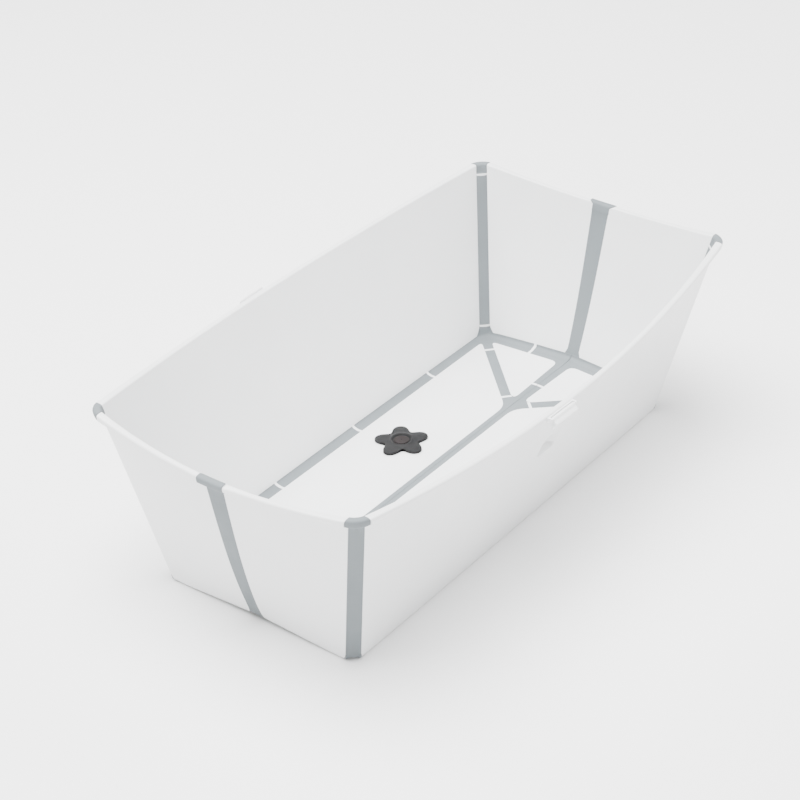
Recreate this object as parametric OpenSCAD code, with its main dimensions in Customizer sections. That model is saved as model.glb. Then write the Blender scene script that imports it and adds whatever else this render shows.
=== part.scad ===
// Folding baby bathtub: rigid white panels joined by soft fold strips.
// Millimetres. X runs along the length, Y across (back wall +Y), Z up from the surface it stands on.

/* [Rim] */
// distance between the end-wall planes at rim height, along X
rim_len = 800; // [700:1:860]
// distance between the long-wall planes at rim height at the corners, along Y
rim_wid = 386; // [340:1:430]
// height of the rim's top at the four corners
rim_h = 255; // [220:1:280]
// how far the long rims bow outwards at mid-length
long_bow = 34; // [0:1:45]
// how far the long rims dip at mid-length
long_dip = 17; // [0:1:30]
// how far the end walls belly outwards at their middle
end_bow = 14; // [0:1:25]
// how far the end rims dip at their middle
end_dip = 14; // [0:1:25]
// how far the rolled rim lip stands out from the wall
lip_w = 6.5; // [5:0.5:12]
// how much further the rolled rim lip stands out at the corners
lip_flare = 3; // [0:0.5:8]
// height of the rolled rim lip
lip_h = 7; // [6:0.5:14]
// height of the soft caps and sleeves over the rim
sleeve_h = 11; // [8:0.5:15]
// how far the soft caps and sleeves stand out from the wall
sleeve_w = 9; // [7:0.5:14]

/* [Base] */
// length of the base at the standing edge
base_len = 692; // [600:1:760]
// width of the base at the standing edge
base_wid = 288; // [240:1:330]
// height of the fold lines round the floor, at the middle of the floor's thickness
floor_z = 14; // [10:0.5:24]
// how far the floor's centre crease stands above its long edges
ridge_h = 8; // [0:0.5:12]
// how far the end walls' lower edges rise towards their middle
foot_lift = 7; // [0:0.5:10]
// distance from the middle to the long fold line of the floor
fold_y = 140; // [110:0.5:150]
// distance from the middle to the end fold line of the floor
fold_x = 342; // [300:0.5:370]

/* [Panels] */
// thickness of the rigid panels
panel_t = 3; // [2:0.1:4]
// angle of the diagonal fold to the long edge
diag_a = 44; // [43:0.05:46]

/* [Fold strips] */
// half width of the corner strips on the wall
corner_s = 12; // [10:0.5:20]
// half width of an end wall's centre strip at the rim
mid_top = 13; // [8:0.5:18]
// half width of an end wall's centre strip at the foot
mid_foot = 8.5; // [5:0.5:14]
// half width of the sleeve over an end rim's middle
sleeve_s = 19; // [14:0.5:24]
// half width of the floor's strips
floor_s = 6.5; // [4:0.5:8]
// how far the gussets stop short of the end fold
end_s = 8; // [5:0.5:10]
// half width of the floor's diagonal strips
diag_s = 7; // [4:0.5:9]
// gap left between neighbouring bodies
gap = 0.2; // [0.1:0.05:0.5]

/* [Drain] */
// position of the drain along X
drain_x = 43; // [-100:1:100]
// position of the drain across Y
drain_y = 70; // [50:1:90]
// radius of the drain hole
drain_r = 14; // [8:0.5:20]
// reach of the star plug's arms from its centre
star_r = 37; // [25:0.5:45]
// reach of the star plug's hollow sides from its centre
star_waist = 19.5; // [15:0.5:24]

/* [Latch] */
// position of the latch along the front rim
latch_x = -54; // [-120:1:120]
// length of the latch tab along the rim
latch_l = 46; // [30:1:70]
// middle of the finger recess below the latch, along the wall
recess_x = -16; // [-100:1:100]
// height of the recess's middle above the standing plane
recess_z = 156; // [120:1:190]
// half width of the recess
recess_w = 21; // [12:1:45]
// half height of the recess
recess_h = 17; // [10:1:45]
// depth of the recess above its lower ledge
recess_d = 6; // [2:0.5:12]

/* [Feet] */
// radius of the anti-slip feet under the floor
foot_r = 9; // [6:0.5:14]

/* [Hidden] */

white = [0.93, 0.935, 0.94];
grey = [0.52, 0.56, 0.58];
dark = [0.14, 0.14, 0.145];

A0 = base_len / 2;
B0 = base_wid / 2;
A1 = rim_len / 2;
B1 = rim_wid / 2;
half_t = panel_t / 2;
fold_j = fold_x - fold_y / tan(diag_a);
ridge_a = asin(ridge_h / fold_y);

// half length and half width of the wall planes at height share v
function ax(v) = A0 + (A1 - A0) * v;
function by(v) = B0 + (B1 - B0) * v;
function swell(v) = pow(v, 1.4);
function belly(v) = 1 - pow(1 - v, 3.5);

// a point of the long wall: s runs -1..1 between the corner strips
function long_pt(s, v, out, dz) = [
    s * (ax(v) - corner_s - gap),
    by(v) + long_bow * swell(v) * (1 - s * s) + out,
    v * (rim_h - long_dip * (1 - s * s)) + dz];

// a point of the end wall at distance y from the middle
function end_pt(y, v, out, dz) =
    let (t = y / (by(v) - corner_s))
    [ax(v) + end_bow * belly(v) * (1 - t * t) + out,
     y,
     v * (rim_h - end_dip * (1 - t * t)) + foot_lift * (1 - v) * (1 - abs(t)) + dz];

// a point across a corner, p runs 0 (long wall) to 90 (end wall): flat, or round where it caps the rim
function corner_pt(p, v, out, dz, round) = [
    ax(v) - corner_s + corner_s * (round == 1 ? sin(p) : p / 90) + out * sin(p),
    by(v) - corner_s * (round == 1 ? 1 - cos(p) : p / 90) + out * cos(p),
    v * rim_h + dz];

// extra reach of the lip towards the corners, t runs -1..1
function flare(t) = lip_flare * pow(abs(t), 3);

// outer offset and drop of a rim row r at place t
function reach(r, t) = r[2] + (r[2] > half_t + 1 ? flare(t) : 0);
function drop(r, t) = r[3] < -lip_h - 1 ? r[3] : r[3] * (1 + flare(t) / lip_h);

// half width of an end wall's centre strip at height share v
function mid_s(v) = mid_foot + (mid_top - mid_foot) * v;

// wall section from foot to rim: [v, inner offset, outer offset, dz, on the lip]
plain_rows = [for (v = [0, 0.03, 0.08, 0.16, 0.28, 0.45, 0.65, 0.85]) [v, -half_t, half_t, 0, 0]];
lip_rows = [
    [1, -half_t, half_t, -sleeve_h - 0.6, 0],
    [1, -half_t, half_t, -sleeve_h, 1],
    [1, -half_t, half_t + 0.2, -lip_h - 0.3, 1],
    [1, -half_t, lip_w - 1.6, -lip_h, 1],
    [1, -half_t, lip_w, -lip_h + 1.8, 1],
    [1, -half_t, lip_w, -2.6, 1],
    [1, -half_t + 0.6, lip_w - 1, -0.9, 1],
    [1, half_t - 0.3, lip_w - 2.8, 0, 1]];
rows = concat(plain_rows, lip_rows);

// rows of a soft strip: the rim part swells into a sleeve
cap_rows = [
    [1, -half_t, half_t, -sleeve_h - 0.2, 0],
    [1, -half_t - 0.7, sleeve_w - 2, -sleeve_h + 0.4, 1],
    [1, -half_t - 0.7, sleeve_w, -sleeve_h + 2.4, 1],
    [1, -half_t - 0.7, sleeve_w, -3, 1],
    [1, -half_t, sleeve_w - 1.5, -0.3, 1],
    [1, half_t - 0.4, sleeve_w - 4, 0.9, 1]];

// closed shell over a grid of inner and outer points, g[i][k] = [inner, outer]
module shell(g, flip) {
    n = len(g) - 1;
    m = len(g[0]) - 1;
    pts = [for (i = [0:n]) for (k = [0:m]) for (q = [0, 1]) g[i][k][q]];
    function id(i, k, q) = (i * (m + 1) + k) * 2 + q;
    function tri(a, b, c, d) = [[a, b, c], [a, c, d]];
    f = concat(
        [for (i = [0:n - 1]) for (k = [0:m - 1])
            each tri(id(i, k, 0), id(i + 1, k, 0), id(i + 1, k + 1, 0), id(i, k + 1, 0))],
        [for (i = [0:n - 1]) for (k = [0:m - 1])
            each tri(id(i, k, 1), id(i, k + 1, 1), id(i + 1, k + 1, 1), id(i + 1, k, 1))],
        [for (i = [0:n - 1])
            each tri(id(i, 0, 0), id(i, 0, 1), id(i + 1, 0, 1), id(i + 1, 0, 0))],
        [for (i = [0:n - 1])
            each tri(id(i, m, 0), id(i + 1, m, 0), id(i + 1, m, 1), id(i, m, 1))],
        [for (k = [0:m - 1])
            each tri(id(0, k, 0), id(0, k + 1, 0), id(0, k + 1, 1), id(0, k, 1))],
        [for (k = [0:m - 1])
            each tri(id(n, k, 0), id(n, k, 1), id(n, k + 1, 1), id(n, k + 1, 0))]);
    polyhedron(points = pts,
        faces = flip ? [for (t = f) [t[2], t[1], t[0]]] : f, convexity = 6);
}

// placing of the four quarters: right-back as drawn, the rest mirrored
module quarter(right, back) {
    mirror([right ? 0 : 1, 0, 0]) mirror([0, back ? 0 : 1, 0]) children();
}

// the long wall panel with its rolled lip
module long_wall() {
    n = 26;
    shell([for (i = [0:n]) [for (r = rows)
        let (s = 1 - 2 * i / n)
        [long_pt(s, r[0], r[1], drop(r, s)), long_pt(s, r[0], reach(r, s), drop(r, s))]]], false);
}

// inward depth of the finger recess at place x, z, deepest just above its lower ledge
function ramp(t) = min(1, max(0, t));
function recess(x, z) =
    let (a = abs(x - recess_x) / recess_w, b = (z - recess_z) / recess_h)
    recess_d * ramp(4 * (1 - a)) * ramp(4 * (1 + b)) * ramp((1 - b) / 1.5);

// the same panel, divided more finely round the recess pressed into it
module latch_wall() {
    cols = concat([for (i = [0:12]) 1 - i * 0.08], [for (i = [0:13]) 0.025 - i * 0.0125],
        [for (i = [0:10]) -0.2 - i * 0.08]);
    low = [for (v = [0, 0.03, 0.08, 0.16, 0.28, 0.42, 0.52, 0.57, 0.6, 0.63, 0.66, 0.69, 0.72, 0.76, 0.85])
        [v, -half_t, half_t, 0, 0]];
    shell([for (s = cols) [for (r = concat(low, lip_rows))
        let (q = long_pt(s, r[0], 0, 0), d = r[0] < 1 ? recess(q[0], q[2]) : 0)
        [long_pt(s, r[0], r[1] - d, drop(r, s)), long_pt(s, r[0], reach(r, s) - d, drop(r, s))]]], false);
}

// half of an end wall, from its centre strip to the corner strip
module end_half() {
    n = 9;
    shell([for (i = [0:n]) [for (r = rows)
        let (y0 = r[4] == 1 ? sleeve_s : mid_s(r[0]),
             y1 = by(r[0]) - corner_s - gap,
             y = y0 + (y1 - y0) * i / n)
        [end_pt(y, r[0], r[1], drop(r, y / y1)),
         end_pt(y, r[0], reach(r, y / y1), drop(r, y / y1))]]], false);
}

// soft strip round one corner, with the sleeve over the rim
module corner_strip() {
    n = 8;
    up = [for (v = [0.006, 0.28, 0.65]) [v, -half_t, half_t, 0, 0]];
    shell([for (i = [0:n]) [for (r = concat(up, cap_rows))
        [corner_pt(90 - 90 * i / n, r[0], r[1], r[3], r[4]),
         corner_pt(90 - 90 * i / n, r[0], r[2] + r[4] * 1.2, r[3], r[4])]]], false);
}

// half of the soft strip down the middle of an end wall, with half its rim sleeve
module mid_strip() {
    n = 2;
    up = [for (v = [0.006, 0.03, 0.08, 0.16, 0.28, 0.45, 0.65, 0.85]) [v, -half_t, half_t, 0, 0]];
    shell([for (i = [0:n]) [for (r = concat(up, cap_rows))
        let (y1 = (r[4] == 1 ? sleeve_s : mid_s(r[0])) - gap,
             y = gap + (y1 - gap) * i / n)
        [end_pt(y, r[0], r[1], r[3]), end_pt(y, r[0], r[2], r[3])]]], false);
}

// flat polygon panel of the floor, lo..hi about the fold height
module slab(p, lo, hi) {
    translate([0, 0, floor_z + lo]) linear_extrude(hi - lo) polygon(p);
}

// leans a back part of the floor up about its long fold line, towards the centre crease
module leaned() {
    translate([0, fold_y, floor_z]) rotate([-ridge_a, 0, 0]) translate([0, -fold_y, -floor_z]) children();
}

// unit helpers for lines in the plane
function perp(a, b) = let (d = b - a) [-d[1], d[0]] / norm(d);
function lift(a, b, w) = [a + perp(a, b) * w, b + perp(a, b) * w];
function cross_at(l, m) =
    let (p = l[0], r = l[1] - l[0], q = m[0], s = m[1] - m[0],
         k = r[0] * s[1] - r[1] * s[0],
         t = ((q[0] - p[0]) * s[1] - (q[1] - p[1]) * s[0]) / k)
    p + r * t;
// polygon p (anticlockwise) set in by w[i] on edge i, corners cut back by c[i]
function inset(p, w, c) =
    let (n = len(p),
         e = [for (i = [0:n - 1]) lift(p[i], p[(i + 1) % n], w[i])],
         v = [for (i = [0:n - 1]) cross_at(e[(i + n - 1) % n], e[i])])
    [for (i = [0:n - 1])
        let (a = v[(i + n - 1) % n], b = v[(i + 1) % n], o = v[i],
             p0 = o + (a - o) / norm(a - o) * c[i],
             p1 = o + (b - o) / norm(b - o) * c[i])
        each (c[i] == 0 ? [o] :
            [for (t = [0:0.25:1]) p0 * pow(1 - t, 2) + o * 2 * t * (1 - t) + p1 * t * t])];

corner_v = [fold_x, fold_y];
joint_j = [fold_j, 0];
end_p = [fold_x, 0];

// half of the floor between the diagonals, back side
module floor_half() leaned() {
    p = [[-fold_j, 0], [fold_j, 0], [fold_x, fold_y], [-fold_x, fold_y]];
    slab(inset(p, [floor_s, diag_s, floor_s, diag_s], [16, 16, 10, 10]), -half_t, half_t);
}

// triangular gusset between a diagonal, the centre line and the end fold
module gusset() leaned() {
    p = [[fold_j, 0], [fold_x, 4.2], [fold_x, fold_y]];
    slab(inset(p, [floor_s, end_s, diag_s], [18, 12, 10]), -half_t, half_t);
}

// soft diagonal strip between floor half and gusset
module diagonal_strip() leaned() {
    d = (corner_v - joint_j) / norm(corner_v - joint_j);
    a = joint_j + d * 13;
    b = corner_v - d * 9;
    w = diag_s - gap;
    slab([lift(a, b, -w)[0], lift(a, b, -w)[1], lift(a, b, w)[1], lift(a, b, w)[0]], -1.2, 1.2);
}

// half of the centre crease strip between a pair of gussets
module crease_strip() leaned() {
    a = fold_j + 17;
    b = fold_x - 8;
    w = floor_s - gap;
    slab([[a, gap], [b, gap], [b, w + 4.2 * (b - fold_j) / (fold_x - fold_j)],
        [a, w + 4.2 * (a - fold_j) / (fold_x - fold_j)]], -1.2, 1.2);
}

// fillet section between the floor and a wall, drawn from the fold line
module fillet_profile(w, e) {
    polygon([[-e + gap, -1.2], [1.5, -1.2], [3.2, 1.2], [w, 5.5], [w, 9], [w - 1.7, 9.2],
        [w - 2.6, 5.6], [0.2, 2.3], [-e + gap, 1.2]]);
}

// soft fold strip along a long edge of the floor
module long_strip() {
    l = fold_x - 16;
    translate([-l, fold_y, floor_z]) rotate([90, 0, 90]) linear_extrude(2 * l) fillet_profile(4.6, floor_s);
}

// soft fold strip along one half of the floor's end edge
module end_foot_strip() leaned() {
    l = fold_y - 18 - mid_foot;
    translate([fold_x, mid_foot + l, floor_z]) rotate([90, 0, 0]) linear_extrude(l) fillet_profile(5.6, end_s);
}

// soft centre crease of the floor with its round ends at the junctions
module keel_strip() {
    color(grey) {
        w = floor_s - gap - 0.1;
        z = floor_z + ridge_h - 1.2;
        translate([-fold_j + 4, -w, z]) cube([2 * fold_j - 8, 2 * w, 2.4]);
        for (x = [-fold_j, fold_j]) translate([x, 0, z]) cylinder(h = 2.4, r = 8, $fn = 48);
    }
}

module floor_front() color(white) mirror([0, 1, 0]) floor_half();

module floor_back() color(white) difference() {
    floor_half();
    leaned() translate([drain_x, drain_y, floor_z - 5]) cylinder(h = 10, r = drain_r + 5, $fn = 64);
}

module gusset_rf() color(white) quarter(true, false) gusset();
module gusset_rb() color(white) quarter(true, true) gusset();
module gusset_lf() color(white) quarter(false, false) gusset();
module gusset_lb() color(white) quarter(false, true) gusset();

// front wall, with the finger recess below the latch
module wall_front() color(white) mirror([0, 1, 0]) latch_wall();
module wall_back() color(white) long_wall();

module end_rf() color(white) quarter(true, false) end_half();
module end_rb() color(white) quarter(true, true) end_half();
module end_lf() color(white) quarter(false, false) end_half();
module end_lb() color(white) quarter(false, true) end_half();

module long_strip_front() color(grey) mirror([0, 1, 0]) long_strip();
module long_strip_back() color(grey) long_strip();

module corner_strip_rf() color(grey) quarter(true, false) corner_strip();
module corner_strip_rb() color(grey) quarter(true, true) corner_strip();
module corner_strip_lf() color(grey) quarter(false, false) corner_strip();
module corner_strip_lb() color(grey) quarter(false, true) corner_strip();

module diagonal_strip_rf() color(grey) quarter(true, false) diagonal_strip();
module diagonal_strip_rb() color(grey) quarter(true, true) diagonal_strip();
module diagonal_strip_lf() color(grey) quarter(false, false) diagonal_strip();
module diagonal_strip_lb() color(grey) quarter(false, true) diagonal_strip();

module crease_strip_rf() color(grey) quarter(true, false) crease_strip();
module crease_strip_rb() color(grey) quarter(true, true) crease_strip();
module crease_strip_lf() color(grey) quarter(false, false) crease_strip();
module crease_strip_lb() color(grey) quarter(false, true) crease_strip();

module end_foot_strip_rf() color(grey) quarter(true, false) end_foot_strip();
module end_foot_strip_rb() color(grey) quarter(true, true) end_foot_strip();
module end_foot_strip_lf() color(grey) quarter(false, false) end_foot_strip();
module end_foot_strip_lb() color(grey) quarter(false, true) end_foot_strip();

module mid_strip_rf() color(grey) quarter(true, false) mid_strip();
module mid_strip_rb() color(grey) quarter(true, true) mid_strip();
module mid_strip_lf() color(grey) quarter(false, false) mid_strip();
module mid_strip_lb() color(grey) quarter(false, true) mid_strip();

top_z = floor_z + half_t;

// soft ring lining the drain hole
module drain_ring() color(grey) leaned() translate([drain_x, drain_y, 0]) difference() {
    union() {
        translate([0, 0, floor_z - 5]) cylinder(h = 5 + half_t, r = drain_r + 4.9, $fn = 64);
        translate([0, 0, floor_z - 5]) cylinder(h = 3.3, r = drain_r + 8, $fn = 64);
    }
    translate([0, 0, floor_z - 6]) cylinder(h = 12, r = drain_r, $fn = 64);
}

// outline of the plug: five rounded arms with hollow sides between them
function star_at(t) = (star_r + star_waist) / 2 + 1.2 + (star_r - star_waist) / 2 * cos(5 * t)
    - 1.2 * cos(10 * t);

// five-armed plug lying on the floor, with a raised ring round a dished middle
module plug_star() color(dark) leaned() translate([drain_x, drain_y, top_z + 0.3]) difference() {
    union() {
        rotate(39) linear_extrude(3.2)
            polygon([for (t = [0:3:357]) star_at(t) * [cos(t), sin(t)]]);
        cylinder(h = 5.5, r = 16.4, $fn = 64);
    }
    translate([0, 0, 3]) cylinder(h = 4, r = 12.6, $fn = 64);
    translate([0, 0, -1]) cylinder(h = 8, r = 4, $fn = 48);
}

// stem that drops into the drain hole
module plug_stem() color(dark) leaned() translate([drain_x, drain_y, 0]) difference() {
    translate([0, 0, floor_z - 5.6]) cylinder(h = 7.2, r = drain_r - 1.6, $fn = 64);
    translate([0, 0, floor_z - 6.6]) cylinder(h = 5.6, r = drain_r - 4, $fn = 64);
}

// heat-sensing button seen in the middle of the star
module plug_seal() color([0.25, 0.25, 0.26]) leaned() translate([drain_x, drain_y, floor_z]) {
    translate([0, 0, 1.7]) cylinder(h = 3.6, r = 3.9, $fn = 48);
    translate([0, 0, 4.9]) cylinder(h = 1.3, r = 10.6, $fn = 64);
}

rim_s = latch_x / (A1 - corner_s);
rim_y = B1 + long_bow * (1 - rim_s * rim_s);
rim_z = rim_h - long_dip * (1 - rim_s * rim_s);
rim_turn = atan(2 * long_bow * rim_s / (A1 - corner_s));
pin_out = lip_w + 3.4;
pin_z = -4.2;

// place things on the front rim at the latch: x along the rim, y outwards negative
module at_latch() translate([latch_x, -rim_y, rim_z]) rotate([0, 0, rim_turn]) children();

// latch tab that hangs from its pin over the outer face of the front rim
module latch_tab() color(white) at_latch() difference() {
    translate([-latch_l / 2, -pin_out, pin_z]) rotate([90, 0, 90]) union() {
        cylinder(h = latch_l, r = 2.3, $fn = 40);
        linear_extrude(latch_l) polygon([[-2.3, 0], [-2.3, -9], [-3.6, -13], [-3.2, -14.6], [-1.6, -14.8],
            [-0.2, -13.4], [0.3, -9], [0.3, 0]]);
    }
    translate([-latch_l, -pin_out, pin_z]) rotate([0, 90, 0]) cylinder(h = 2 * latch_l, r = 1.25, $fn = 32);
}

// pin the latch tab turns on
module latch_pin() color(white) at_latch() translate([-latch_l / 2 - 3.4, -pin_out, pin_z])
    rotate([0, 90, 0]) cylinder(h = latch_l + 6.8, r = 1.2, $fn = 32);

// bracket on the rim's outer face whose two lugs hold the pin
module latch_bracket() color(white) at_latch() difference() {
    union() {
        translate([-latch_l / 2 - 3.6, -lip_w - 0.9, -7.2]) cube([latch_l + 7.2, 0.7, 5.4]);
        for (k = [-1, 1]) translate([k * (latch_l / 2 + 2) - 1.6, 0, 0]) {
            translate([0, -pin_out, pin_z - 2.5]) cube([3.2, pin_out - lip_w - 0.4, 5]);
            translate([0, -pin_out, pin_z]) rotate([0, 90, 0]) cylinder(h = 3.2, r = 2.5, $fn = 40);
        }
    }
    translate([-latch_l, -pin_out, pin_z]) rotate([0, 90, 0]) cylinder(h = 2 * latch_l, r = 1.25, $fn = 32);
}

// hooked keeper on the back rim that the latch closes over when folded
module rim_catch() color(white) mirror([0, 1, 0]) at_latch()
    translate([-latch_l / 2, 0, 0]) rotate([90, 0, 90]) linear_extrude(latch_l)
        polygon([[-lip_w - 0.3, -9], [-pin_out - 3.6, -9], [-pin_out - 3.6, -3.4], [-pin_out - 1.8, -3.4],
            [-pin_out - 1.8, -6.6], [-lip_w - 0.3, -6.6]]);

// soft round foot under the back half of the floor
module foot(x, y) color(grey) difference() {
    translate([x, y, 0]) union() {
        cylinder(h = 2.5, r = foot_r, $fn = 48);
        cylinder(h = floor_z + ridge_h, r = foot_r - 2, $fn = 48);
    }
    leaned() translate([x - 20, -20, floor_z - half_t]) cube([40, 90, 20]);
}

module foot_front_left() mirror([0, 1, 0]) foot(-130, 30);
module foot_front_right() mirror([0, 1, 0]) foot(130, 30);
module foot_back_left() foot(-130, 30);
module foot_back_right() foot(130, 30);

keel_strip();
floor_front();
floor_back();
gusset_rf();
gusset_rb();
gusset_lf();
gusset_lb();
wall_front();
wall_back();
end_rf();
end_rb();
end_lf();
end_lb();
long_strip_front();
long_strip_back();
corner_strip_rf();
corner_strip_rb();
corner_strip_lf();
corner_strip_lb();
diagonal_strip_rf();
diagonal_strip_rb();
diagonal_strip_lf();
diagonal_strip_lb();
crease_strip_rf();
crease_strip_rb();
crease_strip_lf();
crease_strip_lb();
end_foot_strip_rf();
end_foot_strip_rb();
end_foot_strip_lf();
end_foot_strip_lb();
mid_strip_rf();
mid_strip_rb();
mid_strip_lf();
mid_strip_lb();
drain_ring();
plug_star();
plug_stem();
plug_seal();
latch_tab();
latch_pin();
latch_bracket();
rim_catch();
foot_front_left();
foot_front_right();
foot_back_left();
foot_back_right();
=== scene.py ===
import math
import bpy
import bmesh
import numpy as np
from mathutils import Matrix, Vector


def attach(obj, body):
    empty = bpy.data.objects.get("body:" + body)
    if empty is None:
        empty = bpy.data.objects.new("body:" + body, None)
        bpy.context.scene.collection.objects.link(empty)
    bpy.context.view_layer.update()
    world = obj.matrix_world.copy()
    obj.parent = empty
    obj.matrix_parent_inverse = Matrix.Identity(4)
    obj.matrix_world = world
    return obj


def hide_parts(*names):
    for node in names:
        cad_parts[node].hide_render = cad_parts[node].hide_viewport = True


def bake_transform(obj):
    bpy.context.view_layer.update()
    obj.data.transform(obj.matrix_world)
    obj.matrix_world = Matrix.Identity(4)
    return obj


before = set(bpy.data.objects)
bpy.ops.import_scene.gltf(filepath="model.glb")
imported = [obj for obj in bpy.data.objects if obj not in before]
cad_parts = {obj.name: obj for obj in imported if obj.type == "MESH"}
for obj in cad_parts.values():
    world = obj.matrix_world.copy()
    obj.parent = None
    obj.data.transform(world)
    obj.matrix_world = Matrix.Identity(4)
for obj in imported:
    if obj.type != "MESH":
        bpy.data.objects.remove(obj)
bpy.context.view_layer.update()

# ---------------------------------------------------------------- dimensions, mm
A0, A1 = 346.0, 400.0          # half length at the foot and at the rim
B0, B1 = 144.0, 193.0          # half width at the foot and at the rim
RIM_H, LONG_BOW, LONG_DIP, END_BOW, END_DIP = 255.0, 34.0, 17.0, 14.0, 14.0
CS, GAP, HT = 12.0, 0.2, 1.5   # corner strip radius, gap, half thickness
FX, FY, FZ, RIDGE = 342.0, 140.0, 14.0, 8.0   # floor's corner, its height, rise to the centre crease
LEAN = math.asin(RIDGE / FY)
DIAG = math.radians(44.0)
FJ = FX - FY / math.tan(DIAG)
FS, ES, DS = 6.5, 8.0, 7.0     # half widths of floor, end and diagonal strips
LIP_W, LIP_H, FLARE, FOOT_LIFT = 6.5, 7.0, 3.2, 7.0
SLV_W, SLV_H, SLV_S = 9.0, 11.0, 19.0
MID_T, MID_F = 13.0, 8.5       # half widths of the centre strip at the rim and at the foot
FOOT_R = 6.0                   # rounding of a corner strip's lower edge
BRIDGE = 4.0                   # width of a white bridge across a strip
SEAM = -0.1                    # where a half piece ends, just past the centre line
QUARTERS = {"rf": (1, -1), "rb": (1, 1), "lf": (-1, -1), "lb": (-1, 1)}
SIDE = {"f": "front", "b": "back"}


def ax(v):
    return A0 + (A1 - A0) * v


def by(v):
    return B0 + (B1 - B0) * v


def swell(v):
    return max(v, 0.0) ** 1.4


def belly(v):
    return 1 - max(0.0, 1 - v) ** 3.5


def mid_s(v):
    return MID_F + (MID_T - MID_F) * v


def flare(t):
    return FLARE * abs(t) ** 3


def long_pt(s, v, out, dz):
    return (s * (ax(v) - CS - GAP),
            by(v) + LONG_BOW * swell(v) * (1 - s * s) + out,
            v * (RIM_H - LONG_DIP * (1 - s * s)) + dz)


def end_pt(y, v, out, dz):
    t = y / (by(v) - CS)
    return (ax(v) + END_BOW * belly(v) * (1 - t * t) + out, y,
            v * (RIM_H - END_DIP * (1 - t * t)) + FOOT_LIFT * (1 - v) * (1 - abs(t)) + dz)


def corner_pt(p, v, out, dz, k=0.0):
    """Across a corner: flat for k = 0, round for k = 1."""
    t = p / (math.pi / 2)
    u = t + (math.sin(p) - t) * k
    w = t + (1 - math.cos(p) - t) * k
    return (ax(v) - CS + CS * u + out * math.sin(p), by(v) - CS * w + out * math.cos(p), v * RIM_H + dz)


def leaned(p):
    y, z = p[1] - FY, p[2] - FZ
    c, s = math.cos(LEAN), math.sin(LEAN)
    return (p[0], FY + y * c + z * s, FZ - y * s + z * c)


# ---------------------------------------------------------------- materials
def new_material(name):
    m = bpy.data.materials.new(name)
    m.use_nodes = True
    nt = m.node_tree
    nt.nodes.clear()
    out = nt.nodes.new("ShaderNodeOutputMaterial")
    b = nt.nodes.new("ShaderNodeBsdfPrincipled")
    nt.links.new(b.outputs[0], out.inputs[0])
    return m, nt, b


def noise(nt, scale, detail=3.0, rough=0.5):
    tc = nt.nodes.new("ShaderNodeTexCoord")
    n = nt.nodes.new("ShaderNodeTexNoise")
    n.inputs["Scale"].default_value = scale
    n.inputs["Detail"].default_value = detail
    n.inputs["Roughness"].default_value = rough
    nt.links.new(tc.outputs["Object"], n.inputs["Vector"])
    return n


def ramp(nt, src, stops):
    r = nt.nodes.new("ShaderNodeValToRGB")
    e = r.color_ramp.elements
    e[0].position, e[0].color = stops[0][0], (*stops[0][1], 1)
    e[1].position, e[1].color = stops[-1][0], (*stops[-1][1], 1)
    for pos, col in stops[1:-1]:
        k = e.new(pos)
        k.color = (*col, 1)
    nt.links.new(src, r.inputs[0])
    return r


def map_range(nt, src, lo, hi, a=0.3, b=0.7):
    m = nt.nodes.new("ShaderNodeMapRange")
    m.inputs["From Min"].default_value = a
    m.inputs["From Max"].default_value = b
    m.inputs["To Min"].default_value = lo
    m.inputs["To Max"].default_value = hi
    nt.links.new(src, m.inputs["Value"])
    return m


def bump(nt, bsdf, layers):
    prev = None
    for src, strength, dist in layers:
        b = nt.nodes.new("ShaderNodeBump")
        b.inputs["Strength"].default_value = strength
        b.inputs["Distance"].default_value = dist
        nt.links.new(src, b.inputs["Height"])
        if prev is not None:
            nt.links.new(prev.outputs[0], b.inputs["Normal"])
        prev = b
    nt.links.new(prev.outputs[0], bsdf.inputs["Normal"])


def plastic(name, lo, hi, rough_lo, rough_hi, grain=900.0, grain_d=0.00006, wave=14.0, wave_d=0.0003,
            spec=0.5):
    m, nt, b = new_material(name)
    cloud = noise(nt, 9.0, 4.0, 0.55)
    col = ramp(nt, cloud.outputs["Fac"], [(0.3, lo), (0.7, hi)])
    nt.links.new(col.outputs[0], b.inputs["Base Color"])
    fine = noise(nt, grain, 2.0, 0.6)
    mid = noise(nt, 60.0, 3.0, 0.5)
    r = map_range(nt, mid.outputs["Fac"], rough_lo, rough_hi)
    nt.links.new(r.outputs[0], b.inputs["Roughness"])
    broad = noise(nt, wave, 1.0, 0.4)
    bump(nt, b, [(broad.outputs["Fac"], 0.35, wave_d), (fine.outputs["Fac"], 0.4, grain_d)])
    b.inputs["Specular IOR Level"].default_value = spec
    return m


WHITE = plastic("white_panel", (0.80, 0.808, 0.812), (0.835, 0.84, 0.842), 0.30, 0.42)
WHITE_RIM = plastic("white_rim", (0.83, 0.838, 0.842), (0.86, 0.865, 0.868), 0.26, 0.36)
GREY = plastic("grey_soft", (0.145, 0.165, 0.175), (0.163, 0.183, 0.193), 0.55, 0.70,
               grain=1400.0, grain_d=0.00008, wave=22.0, wave_d=0.0002, spec=0.3)
BLACK = plastic("dark_plug", (0.008, 0.008, 0.0085), (0.013, 0.013, 0.0135), 0.46, 0.60,
                grain=1600.0, grain_d=0.00008, wave=30.0, wave_d=0.0003, spec=0.14)
BUTTON = plastic("dark_button", (0.010, 0.0075, 0.0075), (0.014, 0.0105, 0.0105), 0.4, 0.5,
                 grain=1600.0, grain_d=0.00006, wave=30.0, wave_d=0.0002, spec=0.12)


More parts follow.
